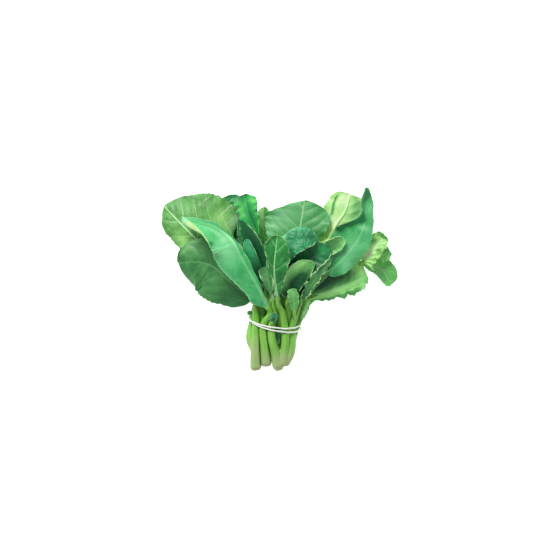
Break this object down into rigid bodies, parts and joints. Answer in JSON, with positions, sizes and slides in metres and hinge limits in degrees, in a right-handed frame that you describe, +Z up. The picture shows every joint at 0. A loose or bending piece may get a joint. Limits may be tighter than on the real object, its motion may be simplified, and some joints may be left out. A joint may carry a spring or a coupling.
{
  "type": "chinese broccoli bunch",
  "caption": "Bunch of young leafy green stems lying on its side, held by a thin elastic band round the stalks, with broad waved leaves spreading flat to one side.",
  "frame": {"origin": "on the worktop, at the small flat under the lowest stalk, beneath the middle of the stalks where the band holds them", "axes": "+Z up; +Y from the cut ends along the stalks towards the leaf tips; +X to the right as seen from above with the leaves away from the viewer"},
  "size_m": [0.3002, 0.2311, 0.0786],
  "materials": {
    "leaf_fresh": "satin, light green leaf with paler veins",
    "leaf_glaucous": "waxy bloom, blue-green leaf",
    "leaf_deep": "satin, dark green leaf",
    "leaf_pale": "matte, pale yellow-green leaf underside",
    "stalk": "smooth waxy yellow-green stalk, paler at the cut ends",
    "band": "matte white elastic band"
  },
  "bodies": {
    "root": {"leaf_left_wide": "leaf_fresh", "leaf_left_low": "leaf_deep", "leaf_front_left": "leaf_glaucous", "leaf_front_centre": "leaf_fresh", "leaf_front_lobe": "leaf_fresh", "leaf_front_cup": "leaf_fresh", "leaf_centre_dark": "leaf_deep", "leaf_centre_savoy": "leaf_glaucous", "leaf_centre_back": "leaf_glaucous", "leaf_top_left": "leaf_fresh", "leaf_top_pale": "leaf_pale", "leaf_mid_grey": "leaf_deep", "leaf_mid_folded": "leaf_deep", "leaf_mid_small": "leaf_glaucous", "leaf_back_left": "leaf_deep", "leaf_right_pale": "leaf_pale", "leaf_right_lip": "leaf_pale", "leaf_right_tall": "leaf_glaucous", "leaf_right_low": "leaf_fresh", "leaf_right_dark": "leaf_deep", "leaf_far_right": "leaf_fresh", "leaf_far_right_curly": "leaf_pale", "leaf_far_right_frill": "leaf_fresh", "leaf_under_left": "leaf_deep", "leaf_under_right": "leaf_deep", "leaf_front_tab": "leaf_fresh", "leaf_front_jagged": "leaf_fresh", "leaf_wing_right": "leaf_fresh", "leaf_scrap_left": "leaf_deep", "leaf_scrap_centre": "leaf_glaucous", "leaf_scrap_gap": "leaf_glaucous", "stalk_left": "stalk", "stalk_mid_left": "stalk", "stalk_front": "stalk", "stalk_far_right": "stalk", "stalk_core_a": "stalk", "stalk_core_b": "stalk", "stalk_core_c": "stalk", "stalk_core_d": "stalk", "stalk_low_a": "stalk", "stalk_low_b": "stalk", "stalk_low_c": "stalk", "stalk_low_d": "stalk", "stalk_low_e": "stalk", "tie_band": "band"}
  },
  "joints": []
}
